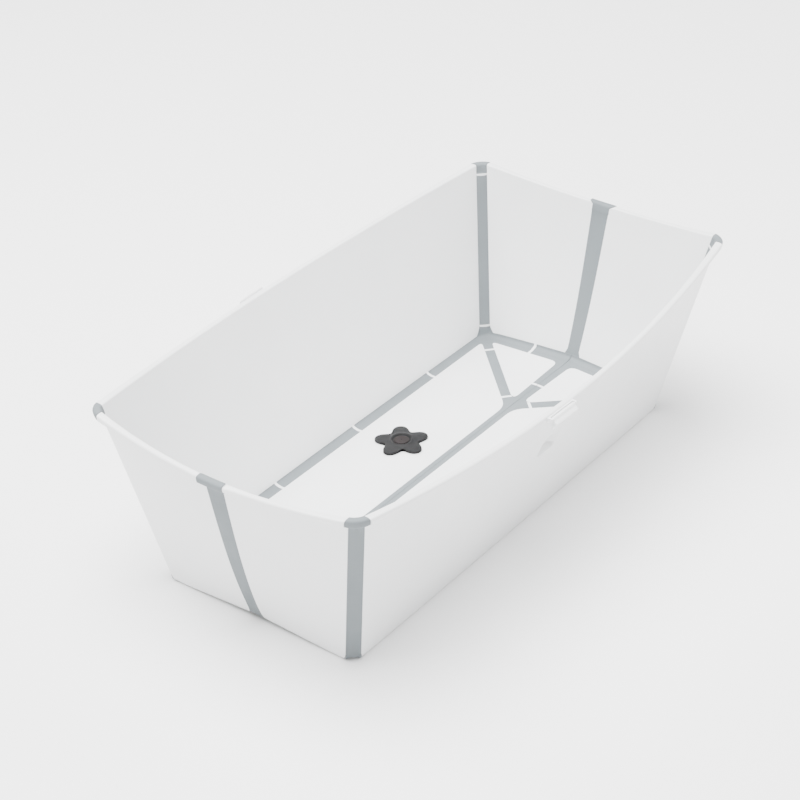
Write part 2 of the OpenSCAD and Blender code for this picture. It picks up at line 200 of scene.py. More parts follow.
# ---------------------------------------------------------------- mesh helpers
def make(name, verts, faces, mat, bevel=0.0, angle=40.0, segs=3):
    """Closed mesh in millimetres, turned outwards, with rounded edges and smooth shading."""
    me = bpy.data.meshes.new(name)
    me.from_pydata([tuple(c * 0.001 for c in v) for v in verts], [], faces)
    bm = bmesh.new()
    bm.from_mesh(me)
    bmesh.ops.remove_doubles(bm, verts=bm.verts, dist=1e-6)
    bmesh.ops.recalc_face_normals(bm, faces=bm.faces)
    bm.to_mesh(me)
    if bevel <= 0:
        for e in bm.edges:
            if len(e.link_faces) == 2 and e.calc_face_angle(0.0) > math.radians(angle):
                e.smooth = False
        bm.to_mesh(me)
    bm.free()
    for p in me.polygons:
        p.use_smooth = True
    me.materials.append(mat)
    ob = bpy.data.objects.new(name, me)
    bpy.context.scene.collection.objects.link(ob)
    if bevel > 0:
        md = ob.modifiers.new("edge", "BEVEL")
        md.width = bevel * 0.001
        md.segments = segs
        md.limit_method = "ANGLE"
        md.angle_limit = math.radians(angle)
        md.harden_normals = True
        md.use_clamp_overlap = True
    return ob


def bake(ob):
    """Applies the modifiers, so that the mesh is final."""
    dg = bpy.context.evaluated_depsgraph_get()
    me = bpy.data.meshes.new_from_object(ob.evaluated_get(dg), preserve_all_data_layers=True, depsgraph=dg)
    ob.modifiers.clear()
    old = ob.data
    ob.data = me
    bpy.data.meshes.remove(old)
    return ob


def shell(name, inner, outer, mat, bevel=0.7):
    """Closed shell over two grids of points of the same size."""
    n, m = len(inner) - 1, len(inner[0]) - 1
    verts = []
    for i in range(n + 1):
        for k in range(m + 1):
            verts += [inner[i][k], outer[i][k]]

    def q(i, k, s):
        return (i * (m + 1) + k) * 2 + s
    f = []
    for i in range(n):
        for k in range(m):
            f.append((q(i, k, 0), q(i + 1, k, 0), q(i + 1, k + 1, 0), q(i, k + 1, 0)))
            f.append((q(i, k, 1), q(i, k + 1, 1), q(i + 1, k + 1, 1), q(i + 1, k, 1)))
    for i in range(n):
        f.append((q(i, 0, 0), q(i, 0, 1), q(i + 1, 0, 1), q(i + 1, 0, 0)))
        f.append((q(i, m, 0), q(i + 1, m, 0), q(i + 1, m, 1), q(i, m, 1)))
    for k in range(m):
        f.append((q(0, k, 0), q(0, k + 1, 0), q(0, k + 1, 1), q(0, k, 1)))
        f.append((q(n, k, 0), q(n, k, 1), q(n, k + 1, 1), q(n, k + 1, 0)))
    return make(name, verts, f, mat, bevel)


def chaikin(p, times=2):
    p = [np.array(a, float) for a in p]
    for _ in range(times):
        q = [p[0]]
        for a, b in zip(p[:-1], p[1:]):
            q += [a * 0.75 + b * 0.25, a * 0.25 + b * 0.75]
        q.append(p[-1])
        p = q
    return p


def resample(p, n):
    p = np.array(p)
    d = np.r_[0, np.cumsum(np.linalg.norm(np.diff(p, axis=0), axis=1))]
    t = np.linspace(0, d[-1], n)
    return np.stack([np.interp(t, d, p[:, j]) for j in range(p.shape[1])], 1)


def lip(w, h, n=20, base=-12.2):
    """Rolled rim section: inner and outer curves of (out, dz) with n points each."""
    outer = chaikin([(HT, base), (HT, -h - 1.6), (HT + 0.5, -h - 0.4), (w * 0.5, -h), (w - 1.8, -h),
                     (w - 0.5, -h + 0.7), (w, -h + 2.2), (w, -h * 0.42), (w - 0.7, -1.7), (w - 2.2, -0.5),
                     (w * 0.5, 0.0), (1.0, -0.05)])
    inner = chaikin([(-HT, base), (-HT, -h), (-HT, -3.0), (-HT, -1.4), (-HT + 0.5, -0.5), (-HT + 1.4, -0.08),
                     (0.3, -0.05)])
    return resample(inner, n), resample(outer, n)


V_ROWS = [0.0, 0.004, 0.009, 0.016, 0.026, 0.04, 0.06, 0.085, 0.12, 0.16, 0.2, 0.25, 0.3, 0.36, 0.42, 0.48,
          0.54, 0.6, 0.66, 0.72, 0.78, 0.84, 0.89, 0.93]


def foot_pull(z, r):
    """How far a rounded lower edge of radius r draws in at height z above the standing plane."""
    if z >= r or r <= 0:
        return 0.0
    return r * (1 - math.sqrt(max(0.0, 1 - (1 - z / r) ** 2)))


def mirrored(p, sx, sy):
    return (p[0] * sx, p[1] * sy, p[2])


def metres(p, sx=1, sy=1):
    """Point p of the +X, +Y quarter, in metres and in quarter (sx, sy)."""
    return tuple(c * 0.001 for c in mirrored(p, sx, sy))


def grid(cols, sx, sy):
    return [[mirrored(p, sx, sy) for p in c] for c in cols]


# ---------------------------------------------------------------- long walls
LATCH_X = -54.0
REC_X, REC_Z, REC_W, REC_H, REC_D = -16.0, 156.0, 21.0, 17.0, 8.5
RIM_S = LATCH_X / (A1 - CS)
RIM_Y = B1 + LONG_BOW * (1 - RIM_S ** 2)
RIM_Z = RIM_H - LONG_DIP * (1 - RIM_S ** 2)
RIM_TURN = math.atan(2 * LONG_BOW * RIM_S / (A1 - CS))


def at_latch(p, sy=-1):
    """A point of the latch's own frame (x along the rim, -y outwards, z up from the rim's top)."""
    c, s = math.cos(RIM_TURN), math.sin(RIM_TURN)
    x, y, z = p[0] * c - p[1] * s + LATCH_X, p[0] * s + p[1] * c - RIM_Y, p[2] + RIM_Z
    return (x, y * (1 if sy < 0 else -1), z)


def ease(t):
    t = min(1.0, max(0.0, t))
    return t * t * (3 - 2 * t)


def recess(x, z):
    """Inward depth of the finger recess below the latch, deepest just above its lower ledge."""
    a, b = abs(x - REC_X) / REC_W, (z - REC_Z) / REC_H
    return REC_D * ease(2.2 * (1 - a)) * ease(3.2 * (1 + b)) * ease((1 - b) / 1.3)


FINE = [0.02 - 0.006 * i for i in range(36)]
COLS = ([1 - 0.0148 * i for i in range(66)] + FINE + [-0.2 - 0.0148 * i for i in range(1, 54)] + [-1.0])
ROWS_FRONT = [v for v in V_ROWS if v < 0.5] + [0.5 + 0.0105 * i for i in range(26)] + V_ROWS[-4:]


def long_wall(sy):
    name = "wall_front" if sy < 0 else "wall_back"
    cols = COLS if sy < 0 else [1 - 2 * i / 110 for i in range(111)]
    rows = ROWS_FRONT if sy < 0 else V_ROWS
    inner, outer = [], []
    for s in cols:
        f = flare(s)
        li, lo = lip(LIP_W + f, LIP_H + f)
        foot = 3.0 + 3.0 * abs(s) ** 8
        ci, co = [], []
        for v in rows:
            pull = foot_pull(v * RIM_H, foot)
            x, _, z = long_pt(s, v, 0, 0)
            dip = recess(x, z) if sy < 0 else 0.0
            ci.append(long_pt(s, v, -HT - min(pull, 2.0) - dip, 0))
            co.append(long_pt(s, v, HT - pull - dip, 0))
        for (a, b), (c, d) in zip(li, lo):
            ci.append(long_pt(s, 1 + b / RIM_H, a, 0))
            co.append(long_pt(s, 1 + d / RIM_H, c, 0))
        inner.append(ci)
        outer.append(co)
    ob = shell(name + "_panel", grid(inner, 1, sy), grid(outer, 1, sy), WHITE, bevel=0.7)
    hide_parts(name)
    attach(ob, name)


for sy in (-1, 1):
    long_wall(sy)


# ---------------------------------------------------------------- end walls
def end_half(q):
    sx, sy = QUARTERS[q]
    n = 44
    inner, outer = [], []
    for i in range(n + 1):
        ci, co = [], []
        t = i / n
        for v in V_ROWS:
            y0, y1 = mid_s(v), by(v) - CS - GAP
            y = y0 + (y1 - y0) * t
            foot = 3.0 + 3.0 * (y / y1) ** 8
            pull = foot_pull(v * RIM_H, foot)
            ci.append(end_pt(y, v, -HT - min(pull, 2.0), 0))
            co.append(end_pt(y, v, HT - pull, 0))
        y = SLV_S + (B1 - CS - GAP - SLV_S) * t
        f = flare(y / (B1 - CS - GAP))
        near = math.exp(-((y - SLV_S) / 9.0) ** 2) * (2.2 if sy < 0 else 0.8)
        li, lo = lip(LIP_W + f + near, LIP_H + f + near)
        for k, ((a, b), (c, d)) in enumerate(zip(li, lo)):
            gi, go = max(0.0, min(1.0, (k - 13) / 6.0)), min(1.0, k / 2.0)
            for col, o, dz, g in ((ci, a, b, gi), (co, c, d, go)):
                v = 1 + dz / RIM_H
                y1 = by(v) - CS - GAP
                y0 = mid_s(1) + (SLV_S - mid_s(1)) * g
                col.append(end_pt(y0 + (y1 - y0) * t, v, o, 0))
        inner.append(ci)
        outer.append(co)
    ob = shell(f"end_{q}_panel", grid(inner, sx, sy), grid(outer, sx, sy), WHITE, bevel=0.7)
    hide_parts(f"end_{q}")
    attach(ob, f"end_{q}")


for q in QUARTERS:
    end_half(q)


# ---------------------------------------------------------------- soft corner strips
def sleeve(w, h, n=18, up=0.9, base=-12.0):
    outer = chaikin([(HT + 0.15, base - 1.0), (HT + 0.2, -h - 0.6), (w - 2.4, -h), (w - 0.5, -h + 0.9),
                     (w, -h + 2.6), (w, -3.4), (w - 0.5, -1.4), (w - 2.4, up - 0.5), (w - 4.6, up),
                     (1.0, up)])
    inner = chaikin([(-HT - 0.15, base - 1.0), (-HT - 0.7, -h), (-HT - 0.8, -3.0), (-HT - 0.6, -0.6),
                     (-HT + 0.6, up - 0.3), (0.3, up)])
    return resample(inner, n), resample(outer, n)


def corner_strip(q):
    sx, sy = QUARTERS[q]
    n = 20
    inner, outer = [], []
    li, lo = sleeve(SLV_W - 0.2, SLV_H)
    for i in range(n + 1):
        p = math.pi / 2 * (1 - i / n)
        hollow = 0.5 * math.sin(2 * p)
        ci, co = [], []
        for v in V_ROWS[1:-1]:
            pull = foot_pull(v * RIM_H, FOOT_R)
            ci.append(corner_pt(p, v, -HT - 0.1 - min(pull, 5.0) * 0.6, 0))
            co.append(corner_pt(p, v, HT - 0.5 - hollow - pull, 0))
        for k, ((a, b), (c, d)) in enumerate(zip(li, lo)):
            g = min(1.0, k / 3.0)
            ci.append(corner_pt(p, 1 + b / RIM_H, a, 0, g * 0.55))
            co.append(corner_pt(p, 1 + d / RIM_H, c - (0.7 + hollow) * (1 - g), 0, g * 0.55))
        inner.append(ci)
        outer.append(co)
    ob = shell(f"corner_{q}_soft", grid(inner, sx, sy), grid(outer, sx, sy), GREY, bevel=0.5)
    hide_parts(f"corner_strip_{q}")
    bake(ob)
    k = (A1 - A0) / (B1 - B0)
    d = np.array([1.0, -k])
    d /= np.linalg.norm(d)
    s0 = np.array([ax(0.5) - CS, by(0.5)])
    tip = np.array([ax(0.5), by(0.5) - CS])
    s1 = s0 + d * ((tip - s0) @ d)
    z = 0.5 * RIM_H
    a, b = metres((s0[0], s0[1], z), sx, sy), metres((s1[0], s1[1], z), sx, sy)
    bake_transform(ob)
    # thin white bridges across the strip, near its head and its foot
    for j, v in enumerate((0.945, 0.118)):
        bi, bo = [], []
        for i in range(n + 1):
            p = math.pi / 2 * (1 - i / n)
            hs = [-2.0, -1.0, 0.0, 1.0, 2.0]
            bi.append([corner_pt(p, v, -HT - 0.4, h) for h in hs])
            bo.append([corner_pt(p, v, -HT + 0.6, h) for h in hs])
        br = shell(f"corner_{q}_bridge_{j}", grid(bi, sx, sy), grid(bo, sx, sy), WHITE, bevel=0.3)
        bake(br)
        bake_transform(br)


for q in QUARTERS:
    corner_strip(q)


def flare_piece(name, q, body, pt, z0, z1, w0, inside=True):
    """Soft web that widens a strip towards its foot; pt(u, z, out) gives a point u mm away from the strip."""
    sx, sy = QUARTERS[q]
    inner, outer = [], []
    a, b = (-HT + 0.8, -HT - 0.14) if inside else (HT - 0.8, HT + 0.14)
    for i in range(13):
        z = z0 + (z1 - z0) * i / 12
        w = w0 * (1 - i / 12) ** 2 + 0.25
        ci, co = [], []
        for k in range(5):
            ci.append(mirrored(pt(w * k / 4 - 0.3, z, a), sx, sy))
            co.append(mirrored(pt(w * k / 4 - 0.3, z, b), sx, sy))
        inner.append(ci)
        outer.append(co)
    ob = shell(name, inner, outer, GREY, bevel=0.0)
    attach(ob, body)


def on_long(u, z, out):
    v = z / RIM_H
    return (ax(v) - CS - u, by(v) + out, z)


def on_end(u, z, out):
    v = z / RIM_H
    return (ax(v) + out, by(v) - CS - u, z)


def out_long(u, z, out):
    return on_long(u, z, out - foot_pull(z, FOOT_R))


def out_end(u, z, out):
    return on_end(u, z, out - foot_pull(z, FOOT_R))


for q in QUARTERS:
    flare_piece(f"foot_web_{q}_long", q, "wall_" + SIDE[q[1]], out_long, 0.7, 10.0, 4.0, inside=False)
    flare_piece(f"foot_web_{q}_end", q, f"end_{q}", out_end, 0.7, 10.0, 4.0, inside=False)
    flare_piece(f"web_{q}_long", q, "wall_" + SIDE[q[1]], on_long, 17.0, 34.0, 9.0)
    flare_piece(f"web_{q}_end", q, f"end_{q}", on_end, 17.5, 34.5, 9.0)


# ---------------------------------------------------------------- soft centre strips of the end walls
def mid_strip(q):
    sx, sy = QUARTERS[q]
    n = 8
    inner, outer = [], []
    li, lo = sleeve(SLV_W, SLV_H)
    for i in range(n + 1):
        t = i / n
        ci, co = [], []
        for v in V_ROWS[1:-1]:
            w = mid_s(v) + 0.1
            wi = w + 9.0 * max(0.0, 1 - max(0.0, v * RIM_H - 16.0) / 18.0) ** 2.2
            wo = w + 4.0 * math.exp(-v * RIM_H / 5.0)
            pull = foot_pull(v * RIM_H, 3.0)
            ci.append(end_pt(0.01 + wi * t, v, -HT - 0.12, 0))
            co.append(end_pt(0.01 + wo * t, v, HT + 0.12 - pull, 0))
        for k, ((a, b), (c, d)) in enumerate(zip(li, lo)):
            g = min(1.0, k / 2.0)
            w = mid_s(1) + (SLV_S - mid_s(1)) * g - 0.15
            wi = mid_s(1) + (w - mid_s(1)) * max(0.0, min(1.0, (k - 12) / 5.0))
            ci.append(end_pt(0.01 + wi * t, 1 + b / RIM_H, a, 0))
            co.append(end_pt(0.01 + w * t, 1 + d / RIM_H, c, 0))
        inner.append(ci)
        outer.append(co)
    ob = shell(f"mid_{q}_soft", grid(inner, sx, sy), grid(outer, sx, sy), GREY, bevel=0.0)
    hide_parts(f"mid_strip_{q}")
    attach(ob, f"end_{q}")


for q in QUARTERS:
    mid_strip(q)


# ---------------------------------------------------------------- floor
def arr(p):
    return np.array(p, float)


def lift(a, b, w):
    d = b - a
    nrm = np.array([-d[1], d[0]]) / np.linalg.norm(d)
    return a + nrm * w, b + nrm * w


def cross_at(l, m):
    p, r = l[0], l[1] - l[0]
    q, s = m[0], m[1] - m[0]
    k = r[0] * s[1] - r[1] * s[0]
    t = ((q[0] - p[0]) * s[1] - (q[1] - p[1]) * s[0]) / k
    return p + r * t


def inset(poly, w, c, steps=8):
    """Polygon set in by w on each edge, with each corner cut back by c on a curve; one list per corner."""
    n = len(poly)
    e = [lift(arr(poly[i]), arr(poly[(i + 1) % n]), w[i]) for i in range(n)]
    v = [cross_at(e[i - 1], e[i]) for i in range(n)]
    out = []
    for i in range(n):
        a, b, o = v[i - 1], v[(i + 1) % n], v[i]
        p0 = o + (a - o) / np.linalg.norm(a - o) * c[i]
        p1 = o + (b - o) / np.linalg.norm(b - o) * c[i]
        out.append([p0 * (1 - t) ** 2 + o * 2 * t * (1 - t) + p1 * t * t
                    for t in np.linspace(0, 1, steps + 1)])
    return out


def plate(name, pts, z0, z1, mat, sx=1, sy=1, bevel=0.6, hole=None):
    """Flat plate over a polygon, optionally with a round hole (x, y, r)."""
    bm = bmesh.new()
    ring = [bm.verts.new((p[0], p[1], 0)) for p in pts]
    edges = [bm.edges.new((ring[i], ring[(i + 1) % len(ring)])) for i in range(len(ring))]
    if hole:
        hv = [bm.verts.new((hole[0] + hole[2] * math.cos(a), hole[1] + hole[2] * math.sin(a), 0))
              for a in np.linspace(0, 2 * math.pi, 72, endpoint=False)]
        edges += [bm.edges.new((hv[i], hv[(i + 1) % 72])) for i in range(72)]
    bmesh.ops.triangle_fill(bm, use_beauty=True, use_dissolve=False, edges=edges)
    bm.verts.index_update()
    flat = [(v.co.x, v.co.y) for v in bm.verts]
    tris = [tuple(v.index for v in f.verts) for f in bm.faces]
    border = [tuple(v.index for v in e.verts) for e in bm.edges if len(e.link_faces) == 1]
    bm.free()
    n = len(flat)
    verts = []
    for z in (z0, z1):
        for p in flat:
            verts.append(mirrored(leaned((p[0], p[1], z)), sx, sy))
    faces = tris + [tuple(i + n for i in t) for t in tris]
    faces += [(a, b, b + n, a + n) for a, b in border]
    return make(name, verts, faces, mat, bevel)


V2, J2, P2 = (FX, FY), (FJ, 0.0), (FX, 0.0)
HALF = [(-FJ, 0), (FJ, 0), (FX, FY), (-FX, FY)]
GUS = [(FJ, 0), (FX, 4.2), (FX, FY)]
DRAIN = (43.0, 70.0, 14.0)
Z0, Z1 = FZ - HT, FZ + HT

half_c = inset(HALF, [FS, DS, FS, DS], [16, 16, 10, 10])
gus_c = inset(GUS, [FS, ES, DS], [18, 12, 10])
half_pts = [p for c in half_c for p in c]
gus_pts = [p for c in gus_c for p in c]

for sy, side in ((-1, "front"), (1, "back")):
    hole = (DRAIN[0], DRAIN[1], DRAIN[2] + 5) if sy > 0 else None
    ob = plate(f"floor_{side}_panel", half_pts, Z0, Z1, WHITE, 1, sy, hole=hole)
    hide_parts(f"floor_{side}")
    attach(ob, f"floor_{side}")
for q, (sx, sy) in QUARTERS.items():
    ob = plate(f"gusset_{q}_panel", gus_pts, Z0, Z1, WHITE, sx, sy)
    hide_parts(f"gusset_{q}")
    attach(ob, f"gusset_{q}")

SZ0, SZ1 = FZ - 1.2, FZ + 1.3
G2 = 0.12                      # gap between a floor panel and the soft layer
RC = 9.0                       # plan radius of the folds at the corners


def ribbon(name, left, right, z0, z1, mat, sx, sy, bevel=0.25):
    """Soft band between two lists of plan points, divided across."""
    m = 6
    inner, outer = [], []
    for a, b in zip(left, right):
        a, b = arr(a), arr(b)
        ci, co = [], []
        for k in range(m + 1):
            p = a + (b - a) * k / m
            ci.append(mirrored(leaned((p[0], p[1], z0)), sx, sy))
            co.append(mirrored(leaned((p[0], p[1], z1)), sx, sy))
        inner.append(ci)
        outer.append(co)
    return shell(name, inner, outer, mat, bevel=bevel)


def keel_blend(ob):
    """Applies the object's transform to a piece of the centre crease."""
    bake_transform(ob)


def long_blend(ob):
    """Applies the object's transform to a piece of a long fold."""
    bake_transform(ob)


def grown(curve, centre, g):
    """Moves a panel's rounded corner away from the panel by g, towards the joint's centre."""
    c = arr(centre)
    return [p + (c - p) / np.linalg.norm(c - p) * g for p in curve]


J_HALF, J_GUS = grown(half_c[1], J2, G2), grown(gus_c[0], J2, G2)
V_HALF, V_GUS = grown(half_c[2], V2, G2), grown(gus_c[2], V2, G2)
P_GUS = grown(gus_c[1], P2, G2)

# centre crease: two halves meeting on the centre line
for sy, side in ((-1, "front"), (1, "back")):
    xs = np.linspace(-J_HALF[0][0], J_HALF[0][0], 60)
    ob = ribbon(f"keel_{side}_soft", [(x, SEAM) for x in xs], [(x, FS - G2) for x in xs], SZ0, SZ1, GREY,
                1, sy, bevel=0.0)
    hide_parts("keel_strip")
    bake(ob)
    keel_blend(ob)

DD = arr(V2) - arr(J2)
DL = float(np.linalg.norm(DD))
DD /= DL


def diag_blend(ob):
    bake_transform(ob)


def cross_bridge(name, p, d, w, wid, q):
    """White bridge across a floor strip at plan point p; d runs along the strip."""
    sx, sy = QUARTERS[q]
    p, d = arr(p), arr(d)
    nrm = np.array([-d[1], d[0]])
    ts = np.linspace(-w, w, 9)
    left = [p + nrm * t - d * wid for t in ts]
    right = [p + nrm * t + d * wid for t in ts]
    ob = ribbon(name, left, right, SZ0 + 0.3, Z1 + 0.12, WHITE, sx, sy, bevel=0.2)
    bake(ob)
    return ob


for q, (sx, sy) in QUARTERS.items():
    t = np.linspace(0.0, 1.0, 40)
    ob = ribbon(f"diagonal_{q}_soft", [J_HALF[-1] + (V_HALF[0] - J_HALF[-1]) * a for a in t],
                [J_GUS[0] + (V_GUS[-1] - J_GUS[0]) * a for a in t], SZ0, SZ1, GREY, sx, sy, bevel=0.0)
    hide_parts(f"diagonal_strip_{q}")
    bake(ob)
    diag_blend(ob)
    for j, a in enumerate((27.0, DL - 40.0)):
        br = cross_bridge(f"diagonal_{q}_bridge_{j}", arr(J2) + DD * a, DD, DS + 0.3, BRIDGE / 2, q)
        diag_blend(br)
    # crease between the gussets, one half each
    slope = 4.2 / (FX - FJ)
    t = np.linspace(0.0, 1.0, 24)
    edge = [J_GUS[-1] + (P_GUS[0] - J_GUS[-1]) * a for a in t]
    ob = ribbon(f"crease_{q}_soft", [(p[0], SEAM) for p in edge], edge, SZ0, SZ1, GREY, sx, sy, bevel=0.0)
    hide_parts(f"crease_strip_{q}")
    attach(ob, f"gusset_{q}")
    br = ribbon(f"crease_{q}_bridge", [(x, 0.08) for x in np.linspace(FJ + 66, FJ + 70, 3)],
                [(x, FS + 0.3 + (x - FJ) * slope) for x in np.linspace(FJ + 66, FJ + 70, 3)],
                SZ0 + 0.3, Z1 + 0.12, WHITE, sx, sy, bevel=0.2)
    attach(br, f"gusset_{q}")


# ---------------------------------------------------------------- junction patches of the soft layer
def patch(name, pts, sx, sy):
    return plate(name, pts, SZ0, SZ1, GREY, sx, sy, bevel=0.0)


for sx, ex in ((1, "r"), (-1, "l")):
    for sy, side in ((-1, "front"), (1, "back")):
        q = ex + side[0]
        a, b = J_HALF, J_GUS
        pts = [arr((a[0][0], SEAM))] + a + b + [arr((b[-1][0], SEAM))]
        ob = patch(f"joint_{q}_soft", pts, sx, sy)
        bake(ob)
        keel_blend(ob)
        # patch at the floor's corner: from the diagonal edge to the long edge, and back from the end edge
        a, b = V_HALF, V_GUS
        arc_c = (FX - RC, FY - RC)
        arc = [arr((arc_c[0] + (RC - FS + G2 + (FS - ES) * t / math.pi * 2) * math.sin(t),
                    arc_c[1] + (RC - FS + G2 + (FS - ES) * t / math.pi * 2) * math.cos(t)))
               for t in np.linspace(0, math.pi / 2, 9)]
        pts = a + [p for p in arc if p[0] > a[-1][0]] + b
        ob = patch(f"floor_corner_{q}_soft", pts, sx, sy)
        bake(ob)
        diag_blend(ob)
        # patch where the crease meets the end fold
        c = P_GUS
        pts = [arr((c[0][0], SEAM))] + c + [arr((FX - ES + G2, SEAM))]
        ob = patch(f"crease_foot_{q}_soft", pts, sx, sy)
        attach(ob, f"gusset_{q}")


# ---------------------------------------------------------------- soft folds between floor and walls
def fillet(w, e, inner_only=False, outer_only=False):
    """Section of the fold strip (out, dz) about the fold line: top curve and bottom curve."""
    top = chaikin([(-e + G2, 1.3), (-1.5, 1.3), (0.6, 1.7), (w - 3.2, 3.6), (w - 2.4, 5.4), (w - 1.7, 7.2)])
    bot = chaikin([(-e + G2, -1.2), (0.0, -1.2), (1.5, -1.2), (3.2, 0.4), (w - 0.3, 3.6), (w - 0.1, 7.0)])
    top, bot = resample(top, 15), resample(bot, 15)
    if inner_only:
        return top[:7], bot[:7]
    if outer_only:
        return top[6:], bot[6:]
    return top, bot


def reach_long(x):
    """From the fold line to the long wall's inner face."""
    v = (FZ + 7.0) / RIM_H
    return by(v) + LONG_BOW * swell(v) * (1 - (x / (ax(v) - CS)) ** 2) - HT + 1.9 - FY


def reach_end(y):
    v = (FZ + 7.0) / RIM_H
    t = min(1.0, y / (by(v) - CS))
    return ax(v) + END_BOW * belly(v) * (1 - t * t) - HT + 1.9 - FX


def fold_long(sy, side):
    l = FX - RC
    xs = np.linspace(-l, l, 90)
    inner, outer = [], []
    for x in xs:
        top, bot = fillet(reach_long(x), FS)
        inner.append([mirrored(leaned((x, FY + a, FZ + b)), 1, sy) for a, b in bot])
        outer.append([mirrored(leaned((x, FY + a, FZ + b)), 1, sy) for a, b in top])
    ob = shell(f"fold_{side}_soft", inner, outer, GREY, bevel=0.25)
    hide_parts(f"long_strip_{side}")
    bake(ob)
    long_blend(ob)
    for j, x0 in enumerate((-298.0, -129.0, 38.0, 209.0)):
        ti, bi = [], []
        top, bot = fillet(reach_long(x0), FS)
        for x in np.linspace(x0 - BRIDGE / 2, x0 + BRIDGE / 2, 5):
            bi.append([mirrored(leaned((x, FY + a, FZ + b)), 1, sy) for a, b in bot])
            ti.append([mirrored(leaned((x, FY + a - 0.3, FZ + b + 0.35)), 1, sy) for a, b in top])
        br = shell(f"fold_{side}_bridge_{j}", bi, ti, WHITE, bevel=0.2)
        bake(br)
        long_blend(br)


for sy, side in ((-1, "front"), (1, "back")):
    fold_long(sy, side)


def fold_end(q):
    sx, sy = QUARTERS[q]
    ys = np.linspace(0.01, FY - RC, 44)
    for part, body, kw in (("soft", f"gusset_{q}", dict(inner_only=True)),
                           ("fillet", f"end_{q}", dict(outer_only=True))):
        inner, outer = [], []
        for y in ys:
            top, bot = fillet(reach_end(y), ES, **kw)
            inner.append([mirrored(leaned((FX + a, y, FZ + b)), sx, sy) for a, b in bot])
            outer.append([mirrored(leaned((FX + a, y, FZ + b)), sx, sy) for a, b in top])
        ob = shell(f"foldend_{q}_{part}", inner, outer, GREY, bevel=0.2)
        if part == "fillet":
            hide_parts(f"end_foot_strip_{q}")
        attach(ob, body)
        bi, ti = [], []
        top, bot = fillet(reach_end(59.5), ES, **kw)
        for y in np.linspace(57.5, 61.5, 5):
            bi.append([mirrored(leaned((FX + a, y, FZ + b)), sx, sy) for a, b in bot])
            ti.append([mirrored(leaned((FX + a - 0.3, y, FZ + b + 0.35)), sx, sy) for a, b in top])
        br = shell(f"foldend_{q}_bridge_{part}", bi, ti, WHITE, bevel=0.2)
        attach(br, body)
    # rounded corner where the long fold and the end fold meet
    cx, cy = FX - RC, FY - RC
    inner, outer = [], []
    for i in range(17):
        t = i / 16
        ang = math.pi / 2 * t
        wl, we = reach_long(cx), reach_end(cy)
        top, bot = fillet(wl + (we - wl) * t - 1.8 * math.sin(math.pi * t), FS + (ES - FS) * t)
        inner.append([mirrored(leaned((cx + (RC + a) * math.sin(ang), cy + (RC + a) * math.cos(ang), FZ + b)),
                               sx, sy) for a, b in bot])
        outer.append([mirrored(leaned((cx + (RC + a) * math.sin(ang), cy + (RC + a) * math.cos(ang), FZ + b)),
                               sx, sy) for a, b in top])
    ob = shell(f"foldcorner_{q}_soft", inner, outer, GREY, bevel=0.2)
    bake(ob)
    long_blend(ob)


for q in QUARTERS:
    fold_end(q)


# ---------------------------------------------------------------- drain, plug
def lathe(name, prof, mat, centre, n=72, tilt=True, r_of=None):
    """Solid turned from a closed profile (r, z) about the vertical through centre; r_of bends the radius."""
    verts, faces = [], []
    m = len(prof)
    for i in range(n):
        a = 2 * math.pi * i / n
        for r, z in prof:
            rr = r_of(r, a) if r_of else r
            p = (centre[0] + rr * math.cos(a), centre[1] + rr * math.sin(a), centre[2] + z)
            verts.append(leaned(p) if tilt else p)
    for i in range(n):
        j = (i + 1) % n
        for k in range(m):
            l = (k + 1) % m
            faces.append((i * m + k, j * m + k, j * m + l, i * m + l))
    return make(name, verts, faces, mat)


ring = lathe("drain_ring_soft", [tuple(p) for p in resample(chaikin(
    [(14.0, -5.0), (22.0, -5.0), (22.0, -1.7), (18.9, -1.7), (18.9, 1.45), (14.6, 1.45), (14.0, 0.9),
     (14.0, -5.0)], 1), 30)[:-1]], GREY, (DRAIN[0], DRAIN[1], FZ))
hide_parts("drain_ring")
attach(ring, "floor_back")

STAR_R, STAR_W, HUB_R = 37.0, 19.5, 16.4     # arm tips, waists between the arms, round hub


def star_at(a):
    t = a - math.radians(39)
    return (STAR_R + STAR_W) / 2 + 1.2 + (STAR_R - STAR_W) / 2 * math.cos(5 * t) - 1.2 * math.cos(10 * t)


def star_r(r, a):
    """Round at the hub, five arms at the edge."""
    w = min(1.0, max(0.0, (r - HUB_R) / (STAR_R - HUB_R)))
    s = star_at(a)
    return (r * (1 - w) + s * w) if r > HUB_R else r


prof = chaikin([(4.2, 0.0), (20.0, 0.0), (33.0, 0.0), (36.4, 0.3), (37.0, 1.2), (36.6, 2.5), (34.6, 3.3),
                (28.0, 3.7), (21.0, 3.9), (18.2, 4.4), (16.4, 5.2), (15.2, 5.6), (14.0, 5.5), (13.2, 4.9),
                (12.7, 3.8), (12.2, 3.05), (8.0, 3.0), (4.2, 3.0)], 2)
prof = [tuple(p) for p in prof]
star = lathe("plug_star_body", prof, BLACK, (DRAIN[0], DRAIN[1], FZ + HT + 0.3), n=180, r_of=star_r)
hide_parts("plug_star")
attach(star, "plug")
stem = lathe("plug_stem_body", [tuple(p) for p in resample(chaikin(
    [(10.0, -1.0), (10.0, -5.2), (10.5, -5.6), (12.0, -5.4), (12.4, -4.6), (12.1, -3.4), (12.4, -2.4),
     (12.1, -1.4), (12.4, -0.4), (12.2, 1.55), (2.0, 1.55), (2.0, -0.9), (10.0, -1.0)], 1), 44)[:-1]],
    BLACK, (DRAIN[0], DRAIN[1], FZ))
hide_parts("plug_stem")
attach(stem, "plug")
